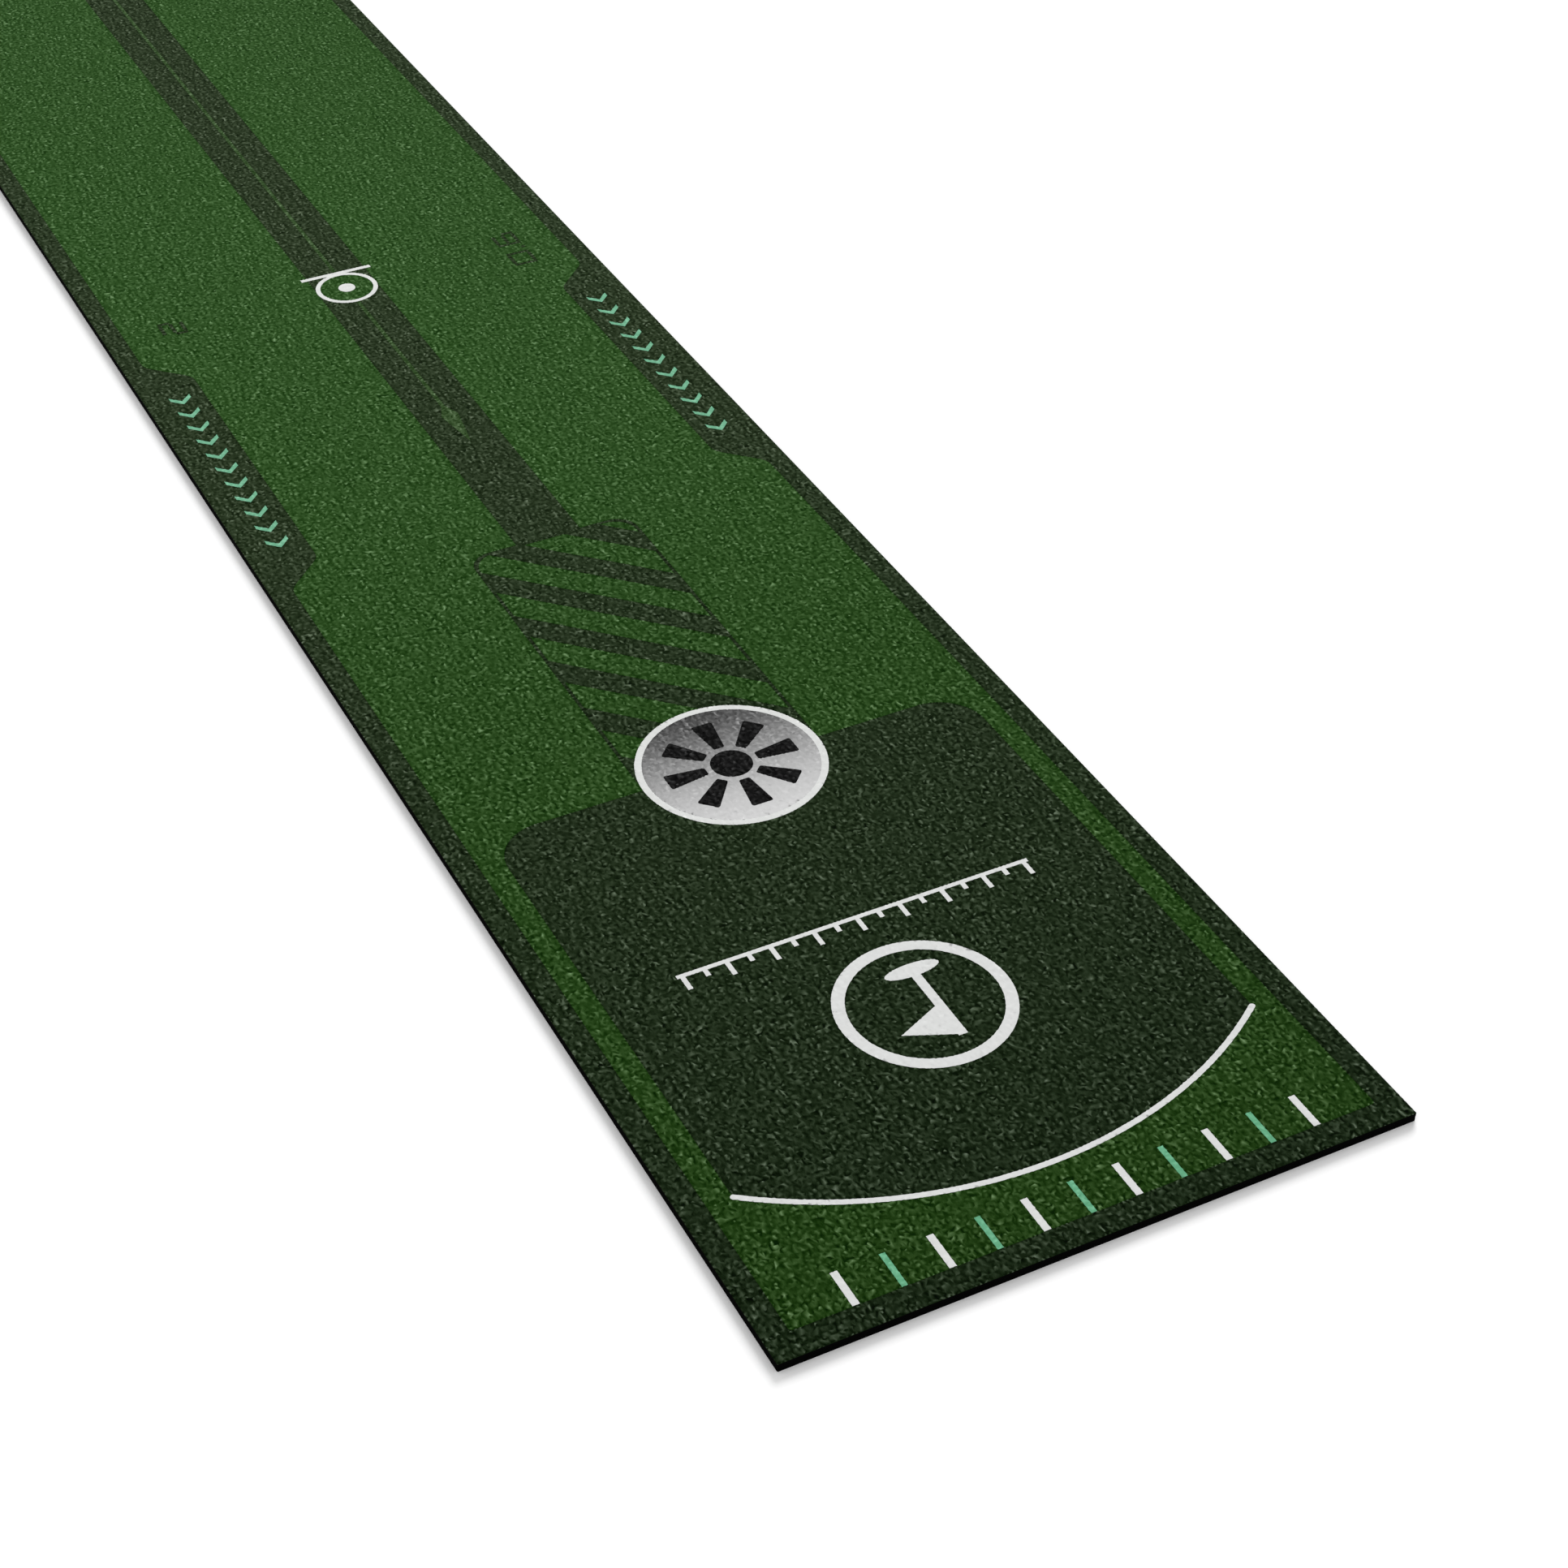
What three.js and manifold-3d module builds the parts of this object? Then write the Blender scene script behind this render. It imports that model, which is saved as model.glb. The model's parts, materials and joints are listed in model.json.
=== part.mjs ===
// Practice putting mat: a rubber base, a thin woven backing and a printed cut-pile surface.
// Each layer is one closed solid. So is each dyed area of the pile, which is let into its
// neighbours like an inlay. Where islands of one colour stand in a ground of another, a thin
// root layer under the ground ties them together. Millimetres, +Z up. The origin is at the
// middle of the underside, the cup end is at -Y, and "from end" distances start at that edge.

import * as THREE from "three";
import { mergeVertices } from "three/addons/utils/BufferGeometryUtils.js";
import Module from "manifold-3d";

const wasm = await Module();
wasm.setup();

// Overall size and layers.
const WIDTH = 350;
const LENGTH = 3000;
const CORNER_RADIUS = 0.8;
const RUBBER_THICKNESS = 3.0;
const BACKING_THICKNESS = 0.4;
const PILE_HEIGHT = 1.8;

// Clearance between two dyed areas, and the height of a root layer that ties islands together.
const GAP = 0.3;
const ROOT_HEIGHT = 0.5;
const ROOT_OVERLAP = 1;

// Dark border with one tab let into each long side.
const BORDER_SIDE = 14;
const BORDER_END = 15;
const TAB_DEPTH = 26;
const TAB_LENGTH = 294;
const TAB_FROM_END = 821;
const TAB_CORNER_RADIUS = 12;
const FIELD_CORNER_RADIUS = 2;

// Cup: white rim, grey face, dark hub and eight dark vents.
const CUP_FROM_END = 400;
const CUP_RADIUS = 54.7;
const CUP_FACE_RADIUS = 50;
const HUB_RADIUS = 12;
const VENT_COUNT = 8;
const VENT_INNER_RADIUS = 15.7;
const VENT_OUTER_RADIUS = 39.5;
const VENT_INNER_WIDTH = 6.2;
const VENT_OUTER_WIDTH = 12.9;
const VENT_CORNER_RADIUS = 1.4;
const VENT_ROOT_RADIUS = VENT_OUTER_RADIUS + 3;

// Hatched runway behind the cup.
const RUNWAY_HALF_WIDTH = 54.4;
const RUNWAY_FAR_FROM_END = 656.6;
const RUNWAY_CORNER_RADIUS = 14.7;
const RUNWAY_OUTLINE = 1.9;
const STRIPE_PITCH = 51.2;
const STRIPE_HEIGHT = 23.5;
const STRIPE_FIRST_FROM_END = 676.6;
const STRIPE_COUNT = 7;

// Dark roll-out track, one golf ball wide, with a thin green aiming line.
const TRACK_HALF_WIDTH = 21.4;
const LINE_WIDTH = 1.8;
const ARROW_TIP_FROM_END = 784;
const ARROW_SHOULDER_FROM_END = 818;
const ARROW_TAIL_FROM_END = 830;
const ARROW_HALF_WIDTH = 5.3;

// Ball marks, one every two feet from the cup.
const MARK_SPACING = 610;
const MARK_COUNT = 4;
const MARK_OUTER_RADIUS = 21.9;
const MARK_INNER_RADIUS = 18.4;
const MARK_DOT_RADIUS = 6.1;
const MARK_BAR_HALF_LENGTH = 25.9;
const MARK_BAR_WIDTH = 3.9;
const MARK_BAR_OFFSET = 22.6;

// Dark panel round the cup, closed by a white arc.
const PANEL_HALF_WIDTH = 147;
const PANEL_CORNER_RADIUS = 28;
const ARC_RADIUS = 247.2;
const ARC_CENTRE_FROM_END = 299.6;
const ARC_WIDTH = 3.6;

// Round flag emblem, white scale and the inch ticks at the end.
const EMBLEM_FROM_END = 178;
const EMBLEM_OUTER_RADIUS = 48.1;
const EMBLEM_INNER_RADIUS = 40.8;
const POLE_STROKE = 5.6;
const POLE_OFFSET = -6;
const POLE_FOOT = -25;
const POLE_HEAD = 29;
const PENNANT_REACH = 29;
const PENNANT_HEIGHT = 26;
const HOLE_HALF_LENGTH = 16;
const HOLE_HALF_HEIGHT = 5;
const HOLE_FACETS = 24;
const SCALE_FROM_END = 241;
const SCALE_LONG_TOOTH = 13;
const SCALE_SHORT_TOOTH = 7.8;
const SCALE_PITCH = 12.7;
const SCALE_STEPS = 16;
const SCALE_STROKE = 3.1;
const TICK_COUNT = 11;
const TICK_PITCH = 25.4;
const WHITE_TICK_WIDTH = 4.2;
const MINT_TICK_WIDTH = 3.5;
const TICK_LENGTH = 22.8;

// Mint direction arrow on each tab: a row of chevrons.
const CHEVRON_COUNT = 11;
const CHEVRON_PITCH = 19;
const CHEVRON_REACH = 7.2;
const CHEVRON_THICKNESS = 4.8;
const CHEVRON_LINE_OFFSET = 151.5;
const TAB_SIDES = { left: -1, right: 1 };

const PILE_BASE = RUBBER_THICKNESS + BACKING_THICKNESS;
const PILE_TOP = PILE_BASE + PILE_HEIGHT;
const ROOT_TOP = PILE_BASE + ROOT_HEIGHT;
const ARC_FACET_ERROR = 0.06;
const OVERCUT = 1;

const material = (color, roughness) => new THREE.MeshStandardMaterial({ color, roughness, metalness: 0 });
const RUBBER = material("#0b0b0b", 0.75);
const BACKING = material("#1c1d1b", 0.95);
const PILE_DARK = material("#2a3a24", 0.95);
const PILE_GREEN = material("#33631f", 0.95);
const PILE_WHITE = material("#dcdcda", 0.9);
const PILE_MINT = material("#6cc6a2", 0.9);
const PILE_GREY = material("#a4a4a4", 0.9);
const PILE_BLACK = material("#1b1b1b", 0.95);

const mat = new THREE.Group();
mat.name = "practice_putting_mat";

// ---- solids ----

function solidOf(geometry) {
  const bare = geometry.clone();
  bare.deleteAttribute("normal");
  bare.deleteAttribute("uv");
  const merged = mergeVertices(bare, 1e-4);
  const mesh = new wasm.Mesh({
    numProp: 3,
    vertProperties: new Float32Array(merged.attributes.position.array),
    triVerts: new Uint32Array(merged.index.array),
  });
  return new wasm.Manifold(mesh);
}

function geometryOf(solid) {
  const mesh = solid.getMesh();
  const geometry = new THREE.BufferGeometry();
  geometry.setAttribute("position", new THREE.BufferAttribute(mesh.vertProperties, 3));
  geometry.setIndex(new THREE.BufferAttribute(mesh.triVerts, 1));
  geometry.computeVertexNormals();
  return geometry;
}

function prism(outline, bottom, top) {
  const shape = new THREE.Shape(outline.map(([x, y]) => new THREE.Vector2(x, y - LENGTH / 2)));
  const geometry = new THREE.ExtrudeGeometry(shape, { depth: top - bottom, bevelEnabled: false });
  geometry.translate(0, 0, bottom);
  return solidOf(geometry);
}

function joined(solids) {
  return solids.reduce((whole, solid) => whole.add(solid));
}

// The solid of a list of outlines at full pile height.
function pileOf(outlines, bottom = PILE_BASE) {
  return joined(outlines.map((outline) => prism(outline, bottom, PILE_TOP)));
}

// What another area takes out of a solid: taller than the pile, so that no skin is left.
function cutterOf(outlines) {
  return joined(outlines.map((outline) => prism(outline, PILE_BASE - OVERCUT, PILE_TOP + OVERCUT)));
}

function cutBy(solid, ...regions) {
  return regions.reduce((rest, region) => rest.subtract(cutterOf(region(GAP))), solid);
}

function addMesh(name, look, solid) {
  const mesh = new THREE.Mesh(geometryOf(solid), look);
  mesh.name = name;
  mat.add(mesh);
}

// ---- outlines: each is a counter-clockwise list of points ----

function arcPoints(x, y, radius, from, to) {
  const step = 2 * Math.acos(1 - ARC_FACET_ERROR / radius);
  const count = Math.max(2, Math.ceil(Math.abs(to - from) / step));
  return Array.from({ length: count + 1 }, (_, i) => {
    const angle = from + ((to - from) * i) / count;
    return [x + radius * Math.cos(angle), y + radius * Math.sin(angle)];
  });
}

function circle(x, y, radius) {
  return arcPoints(x, y, radius, 0, 2 * Math.PI).slice(0, -1);
}

function rectangle(x0, x1, y0, y1) {
  return [[x0, y0], [x1, y0], [x1, y1], [x0, y1]];
}

// Moves every side of a polygon outwards.
function grown(points, amount) {
  return points.map((point, i) => {
    const before = new THREE.Vector2(...points.at(i - 1));
    const here = new THREE.Vector2(point[0], point[1]);
    const after = new THREE.Vector2(...points[(i + 1) % points.length]);
    const inward = here.clone().sub(before).normalize();
    const outward = after.clone().sub(here).normalize();
    const normal = new THREE.Vector2(inward.y + outward.y, -inward.x - outward.x).normalize();
    const stretch = amount / (normal.x * inward.y - normal.y * inward.x);
    return [here.x + normal.x * stretch, here.y + normal.y * stretch, point[2]];
  });
}

// Rounds each corner by the radius that its point holds as a third number.
function rounded(points) {
  return points.flatMap((point, i) => {
    const [x, y, radius] = point;
    if (!radius) return [[x, y]];
    const here = new THREE.Vector2(x, y);
    const back = new THREE.Vector2(...points.at(i - 1)).sub(here).normalize();
    const ahead = new THREE.Vector2(...points[(i + 1) % points.length]).sub(here).normalize();
    const half = Math.acos(back.dot(ahead)) / 2;
    const turn = Math.sign(ahead.x * back.y - ahead.y * back.x);
    const centre = back.clone().add(ahead).normalize().multiplyScalar(radius / Math.sin(half)).add(here);
    const start = back.multiplyScalar(radius / Math.tan(half)).add(here).sub(centre);
    const from = Math.atan2(start.y, start.x);
    return arcPoints(centre.x, centre.y, radius, from, from + turn * (Math.PI - 2 * half));
  });
}

// A straight stroke of constant width from one point to another.
function stroke([x0, y0], [x1, y1], width, grow) {
  const along = new THREE.Vector2(x1 - x0, y1 - y0).normalize();
  const side = new THREE.Vector2(-along.y, along.x).multiplyScalar(width / 2 + grow);
  along.multiplyScalar(grow);
  return [
    [x0 - along.x - side.x, y0 - along.y - side.y],
    [x1 + along.x - side.x, y1 + along.y - side.y],
    [x1 + along.x + side.x, y1 + along.y + side.y],
    [x0 - along.x + side.x, y0 - along.y + side.y],
  ];
}

// ---- areas: each takes how far to grow and gives a list of outlines ----

const matArea = (grow) => [
  rounded(grown(rectangle(-WIDTH / 2, WIDTH / 2, 0, LENGTH).map((p) => [...p, CORNER_RADIUS]), grow)),
];

function fieldArea(grow) {
  const side = WIDTH / 2 - BORDER_SIDE;
  const tab = side - TAB_DEPTH;
  const tabNear = TAB_FROM_END - TAB_LENGTH / 2;
  const tabFar = TAB_FROM_END + TAB_LENGTH / 2;
  const right = [
    [side, BORDER_END, FIELD_CORNER_RADIUS],
    [side, tabNear, TAB_CORNER_RADIUS],
    [tab, tabNear + TAB_DEPTH, TAB_CORNER_RADIUS],
    [tab, tabFar - TAB_DEPTH, TAB_CORNER_RADIUS],
    [side, tabFar, TAB_CORNER_RADIUS],
    [side, LENGTH - BORDER_END, FIELD_CORNER_RADIUS],
  ];
  const left = right.map(([x, y, radius]) => [-x, y, radius]).reverse();
  return [rounded(grown([...right, ...left], grow))];
}

const cupArea = (grow) => [circle(0, CUP_FROM_END, CUP_RADIUS + grow)];
const cupFaceArea = (grow) => [circle(0, CUP_FROM_END, CUP_FACE_RADIUS + grow)];

function ventArea(grow) {
  const vents = Array.from({ length: VENT_COUNT }, (_, i) => {
    const angle = (2 * Math.PI * i) / VENT_COUNT;
    const corners = [
      [VENT_INNER_RADIUS, -VENT_INNER_WIDTH / 2],
      [VENT_OUTER_RADIUS, -VENT_OUTER_WIDTH / 2],
      [VENT_OUTER_RADIUS, VENT_OUTER_WIDTH / 2],
      [VENT_INNER_RADIUS, VENT_INNER_WIDTH / 2],
    ];
    const turned = corners.map(([u, v]) => [
      u * Math.cos(angle) - v * Math.sin(angle),
      u * Math.sin(angle) + v * Math.cos(angle) + CUP_FROM_END,
      VENT_CORNER_RADIUS,
    ]);
    return rounded(grown(turned, grow));
  });
  return [circle(0, CUP_FROM_END, HUB_RADIUS + grow), ...vents];
}

function runwayArea(grow) {
  const side = RUNWAY_HALF_WIDTH;
  const corners = [
    [-side, CUP_FROM_END],
    [side, CUP_FROM_END],
    [side, RUNWAY_FAR_FROM_END, RUNWAY_CORNER_RADIUS],
    [-side, RUNWAY_FAR_FROM_END, RUNWAY_CORNER_RADIUS],
  ];
  return [rounded(grown(corners, grow))];
}

const runwayInside = (grow) => runwayArea(grow - RUNWAY_OUTLINE);

// A 45 degree band that runs past both sides of the runway, with its middle at "fromEnd".
function diagonalBand(fromEnd, height) {
  const reach = 2 * RUNWAY_HALF_WIDTH;
  return [
    [-reach, fromEnd + reach - height / 2],
    [reach, fromEnd - reach - height / 2],
    [reach, fromEnd - reach + height / 2],
    [-reach, fromEnd + reach + height / 2],
  ];
}

const stripeFromEnd = (index) => STRIPE_FIRST_FROM_END - index * STRIPE_PITCH;

const trackArea = (grow) => [
  grown(
    rectangle(-TRACK_HALF_WIDTH, TRACK_HALF_WIDTH, RUNWAY_FAR_FROM_END, markFromEnd(MARK_COUNT)),
    grow,
  ),
];

function arrowArea(grow) {
  const half = LINE_WIDTH / 2;
  const tail = markFromEnd(1);
  return [
    grown(
      [
        [0, ARROW_TIP_FROM_END],
        [ARROW_HALF_WIDTH, ARROW_SHOULDER_FROM_END],
        [half, ARROW_TAIL_FROM_END],
        [half, tail],
        [-half, tail],
        [-half, ARROW_TAIL_FROM_END],
        [-ARROW_HALF_WIDTH, ARROW_SHOULDER_FROM_END],
      ],
      grow,
    ),
  ];
}

const markFromEnd = (number) => CUP_FROM_END + number * MARK_SPACING;

function markBar(number, grow) {
  const middle = markFromEnd(number) + MARK_BAR_OFFSET;
  return stroke([-MARK_BAR_HALF_LENGTH, middle], [MARK_BAR_HALF_LENGTH, middle], MARK_BAR_WIDTH, grow);
}

const markNumbers = Array.from({ length: MARK_COUNT }, (_, i) => i + 1);
const ringsArea = (grow) => markNumbers.map((i) => circle(0, markFromEnd(i), MARK_OUTER_RADIUS + grow));
const barsArea = (grow) => markNumbers.map((i) => markBar(i, grow));
const marksArea = (grow) => [...ringsArea(grow), ...barsArea(grow)];

function panelArea(grow) {
  const side = PANEL_HALF_WIDTH + grow;
  const top = CUP_FROM_END + grow;
  const radius = ARC_RADIUS + grow;
  const end = Math.asin(side / radius);
  const down = -Math.PI / 2;
  const corner = PANEL_CORNER_RADIUS;
  return [
    [
      ...arcPoints(0, ARC_CENTRE_FROM_END, radius, down - end, down + end),
      ...arcPoints(side - corner, top - corner, corner, 0, Math.PI / 2),
      ...arcPoints(corner - side, top - corner, corner, Math.PI / 2, Math.PI),
    ],
  ];
}

function arcArea(grow) {
  const half = ARC_WIDTH / 2 + grow;
  const end = Math.asin(PANEL_HALF_WIDTH / ARC_RADIUS);
  const down = -Math.PI / 2;
  const tipX = ARC_RADIUS * Math.sin(end);
  const tipY = ARC_CENTRE_FROM_END - ARC_RADIUS * Math.cos(end);
  return [
    [
      ...arcPoints(0, ARC_CENTRE_FROM_END, ARC_RADIUS + half, down - end, down + end),
      ...arcPoints(tipX, tipY, half, down + end, down + end + Math.PI).slice(1, -1),
      ...arcPoints(0, ARC_CENTRE_FROM_END, ARC_RADIUS - half, down + end, down - end),
      ...arcPoints(-tipX, tipY, half, down - end + Math.PI, down - end + 2 * Math.PI).slice(1, -1),
    ],
  ];
}

const emblemArea = (grow) => [circle(0, EMBLEM_FROM_END, EMBLEM_OUTER_RADIUS + grow)];

// A flagstick with its pennant and hole, upright for a player who looks towards the cup end.
function flagArea(grow) {
  const place = (u, v) => [-POLE_OFFSET - u, EMBLEM_FROM_END - v];
  const pole = stroke(place(0, POLE_FOOT), place(0, POLE_HEAD), POLE_STROKE, grow);
  const pennant = [
    place(0, POLE_HEAD - PENNANT_HEIGHT),
    place(PENNANT_REACH, POLE_HEAD - PENNANT_HEIGHT / 2),
    place(0, POLE_HEAD),
  ];
  const hole = Array.from({ length: HOLE_FACETS }, (_, i) => {
    const angle = (2 * Math.PI * i) / HOLE_FACETS;
    const u = (HOLE_HALF_LENGTH + grow) * Math.cos(angle);
    const v = (HOLE_HALF_HEIGHT + grow) * Math.sin(angle);
    return place(u, POLE_FOOT + v);
  });
  return [pole, grown(pennant, grow), hole];
}

// A comb: a line with alternate long and short teeth.
function scaleArea(grow) {
  const far = SCALE_FROM_END + SCALE_LONG_TOOTH;
  const reach = (SCALE_PITCH * SCALE_STEPS) / 2;
  const root = far - SCALE_STROKE;
  const edge = reach + SCALE_STROKE;
  const teeth = Array.from({ length: SCALE_STEPS + 1 }, (_, i) => {
    const x = i * SCALE_PITCH - reach;
    const tip = far - (i % 2 === 0 ? SCALE_LONG_TOOTH : SCALE_SHORT_TOOTH);
    const half = SCALE_STROKE / 2;
    return [[x - half, root], [x - half, tip], [x + half, tip], [x + half, root]];
  });
  return [grown([[-edge, far], [-edge, root], ...teeth.flat(), [edge, root], [edge, far]], grow)];
}

const isWhiteTick = (index) => index % 2 === 0;

const tickArea = (index) => (grow) => {
  const x = (index - (TICK_COUNT - 1) / 2) * TICK_PITCH;
  const half = (isWhiteTick(index) ? WHITE_TICK_WIDTH : MINT_TICK_WIDTH) / 2;
  return [grown(rectangle(x - half, x + half, BORDER_END, BORDER_END + TICK_LENGTH), grow)];
};

// Chevrons along the tab that point to the cup end, and the strip of roots that ties them.
const chevronLength = CHEVRON_REACH + CHEVRON_THICKNESS;
const chevronRow = CHEVRON_PITCH * (CHEVRON_COUNT - 1) + chevronLength;
const firstTip = TAB_FROM_END - chevronRow / 2;

const chevronArea = (side) => (grow) =>
  Array.from({ length: CHEVRON_COUNT }, (_, i) => {
    const x = side * CHEVRON_LINE_OFFSET;
    const tip = firstTip + i * CHEVRON_PITCH;
    const corners = [
      [x, tip],
      [x + CHEVRON_REACH, tip + CHEVRON_REACH],
      [x + CHEVRON_REACH, tip + chevronLength],
      [x, tip + CHEVRON_THICKNESS],
      [x - CHEVRON_REACH, tip + chevronLength],
      [x - CHEVRON_REACH, tip + CHEVRON_REACH],
    ];
    return grown(corners, grow);
  });

function chevronRoots(side, grow) {
  const x = side * CHEVRON_LINE_OFFSET;
  const strip = rectangle(x - CHEVRON_REACH, x + CHEVRON_REACH, firstTip, firstTip + chevronRow);
  return grown(strip, grow);
}

// ---- layers ----

addMesh("rubber_base", RUBBER, prism(matArea(0)[0], 0, RUBBER_THICKNESS));
addMesh("primary_backing", BACKING, prism(matArea(0)[0], RUBBER_THICKNESS, PILE_BASE));

// ---- border ----

const ticks = Array.from({ length: TICK_COUNT }, (_, i) => tickArea(i));
const border = cutBy(pileOf(matArea(0)), fieldArea);
const nearCut = BORDER_END - GAP;
const borderParts = {
  near: rectangle(-WIDTH, WIDTH, -WIDTH, nearCut),
  far: rectangle(-WIDTH, WIDTH, LENGTH - nearCut, LENGTH + WIDTH),
  left: rectangle(-WIDTH, 0, BORDER_END, LENGTH - BORDER_END),
  right: rectangle(0, WIDTH, BORDER_END, LENGTH - BORDER_END),
};

// Room for the chevrons and their roots. A strip without a tab is left as it is.
function withTab(strip, sign) {
  if (!sign) return strip;
  const recess = prism(chevronRoots(sign, GAP), PILE_BASE - OVERCUT, ROOT_TOP + GAP);
  return cutBy(strip, chevronArea(sign)).subtract(recess);
}

for (const [side, part] of Object.entries(borderParts)) {
  addMesh(`border_${side}`, PILE_DARK, withTab(border.intersect(cutterOf([part])), TAB_SIDES[side]));
}
for (const [side, sign] of Object.entries(TAB_SIDES)) {
  const roots = prism(chevronRoots(sign, 0), PILE_BASE, ROOT_TOP);
  addMesh(`tab_arrow_${side}`, PILE_MINT, pileOf(chevronArea(sign)(0)).add(roots));
}

// ---- green field, dark panel and what is let into them ----

addMesh(
  "field",
  PILE_GREEN,
  cutBy(pileOf(fieldArea(0)), panelArea, arcArea, cupArea, runwayArea, trackArea, marksArea, ...ticks),
);
addMesh("cup_panel", PILE_DARK, cutBy(pileOf(panelArea(0)), arcArea, cupArea, emblemArea, scaleArea));
addMesh("panel_arc", PILE_WHITE, pileOf(arcArea(0)));
addMesh("panel_scale", PILE_WHITE, pileOf(scaleArea(0)));
ticks.forEach((area, i) => {
  const number = String(i + 1).padStart(2, "0");
  addMesh(`inch_tick_${number}`, isWhiteTick(i) ? PILE_WHITE : PILE_MINT, pileOf(area(0)));
});

// ---- islands of one colour, tied together by a root layer under their ground ----

function rootDisc(fromEnd, radius) {
  return prism(circle(0, fromEnd, radius), PILE_BASE, ROOT_TOP);
}

function groundOver(fromEnd, radius) {
  return prism(circle(0, fromEnd, radius - GAP), ROOT_TOP + GAP, PILE_TOP);
}

// A ring at full pile height on a root layer that also reaches the islands inside it.
function ringWithRoots(fromEnd, outer, inner) {
  const ring = pileOf([circle(0, fromEnd, outer)]).subtract(cutterOf([circle(0, fromEnd, inner)]));
  return ring.add(rootDisc(fromEnd, inner + ROOT_OVERLAP));
}

const emblemRing = ringWithRoots(EMBLEM_FROM_END, EMBLEM_OUTER_RADIUS, EMBLEM_INNER_RADIUS);
addMesh("flag_emblem", PILE_WHITE, emblemRing.add(pileOf(flagArea(0))));
addMesh(
  "flag_emblem_ground",
  PILE_DARK,
  cutBy(groundOver(EMBLEM_FROM_END, EMBLEM_INNER_RADIUS), flagArea),
);

addMesh("cup_rim", PILE_WHITE, cutBy(pileOf(cupArea(0)), cupFaceArea));
addMesh("cup_vents", PILE_BLACK, pileOf(ventArea(0)).add(rootDisc(CUP_FROM_END, VENT_ROOT_RADIUS)));
const faceRecess = prism(
  circle(0, CUP_FROM_END, VENT_ROOT_RADIUS + GAP),
  PILE_BASE - OVERCUT,
  ROOT_TOP + GAP,
);
addMesh("cup_face", PILE_GREY, cutBy(pileOf(cupFaceArea(0)), ventArea).subtract(faceRecess));

// The bar of a ball mark starts above the roots, because the track's roots run on under it.
for (const number of markNumbers) {
  const centre = markFromEnd(number);
  const ring = ringWithRoots(centre, MARK_OUTER_RADIUS, MARK_INNER_RADIUS);
  const bar = pileOf([markBar(number, 0)], ROOT_TOP + GAP);
  const dotArea = (grow) => [circle(0, centre, MARK_DOT_RADIUS + grow)];
  addMesh(`ball_mark_${number}`, PILE_WHITE, joined([ring, bar, pileOf(dotArea(0))]));
  addMesh(
    `ball_mark_ground_${number}`,
    PILE_GREEN,
    cutBy(groundOver(centre, MARK_INNER_RADIUS), dotArea),
  );
}

// ---- runway: outline and stripes in one piece, and the green between them ----

const runway = pileOf(runwayArea(0));
const outline = runway.subtract(cutterOf(runwayInside(0)));
const stripes = Array.from({ length: STRIPE_COUNT }, (_, i) =>
  diagonalBand(stripeFromEnd(i), STRIPE_HEIGHT),
);
addMesh(
  "runway_hatching",
  PILE_DARK,
  cutBy(outline.add(runway.intersect(cutterOf(stripes))), cupArea),
);
// The gap on both sides of a green band, measured along Y across its 45 degree edges.
const bandGap = 2 * GAP * Math.SQRT2;
const inside = runway.intersect(cutterOf(runwayInside(-GAP)));
for (let i = 0; i < STRIPE_COUNT; i += 1) {
  const middle = stripeFromEnd(i) + STRIPE_PITCH / 2;
  const band = diagonalBand(middle, STRIPE_PITCH - STRIPE_HEIGHT - bandGap);
  addMesh(`runway_green_${i + 1}`, PILE_GREEN, cutBy(inside.intersect(cutterOf([band])), cupArea));
}

// ---- track and aiming line, in lengths between the ball marks ----

function lengthOf(number, x0, x1) {
  const near = number === 0 ? RUNWAY_FAR_FROM_END + GAP : markFromEnd(number);
  return pileOf([rectangle(x0, x1, near, markFromEnd(number + 1))]);
}

function underBars(solid) {
  const bars = barsArea(GAP).map((bar) => prism(bar, ROOT_TOP, PILE_TOP + OVERCUT));
  return solid.subtract(joined(bars));
}

const lineHalf = LINE_WIDTH / 2;
const wholeTrack = lengthOf(0, -TRACK_HALF_WIDTH, TRACK_HALF_WIDTH);
addMesh("track_0", PILE_DARK, cutBy(wholeTrack, arrowArea, ringsArea));
addMesh("aim_arrow", PILE_GREEN, cutBy(pileOf(arrowArea(0)), ringsArea));
for (const number of markNumbers.slice(0, -1)) {
  const left = cutBy(lengthOf(number, -TRACK_HALF_WIDTH, -lineHalf - GAP), ringsArea);
  const right = cutBy(lengthOf(number, lineHalf + GAP, TRACK_HALF_WIDTH), ringsArea);
  addMesh(`track_${number}_left`, PILE_DARK, underBars(left));
  addMesh(`track_${number}_right`, PILE_DARK, underBars(right));
  addMesh(`aim_line_${number}`, PILE_GREEN, cutBy(lengthOf(number, -lineHalf, lineHalf), marksArea));
}

export default mat;
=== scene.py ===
import json
import math

import bpy
import numpy as np
from mathutils import Matrix, Vector
from mathutils.geometry import delaunay_2d_cdt
from mathutils.kdtree import KDTree


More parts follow.
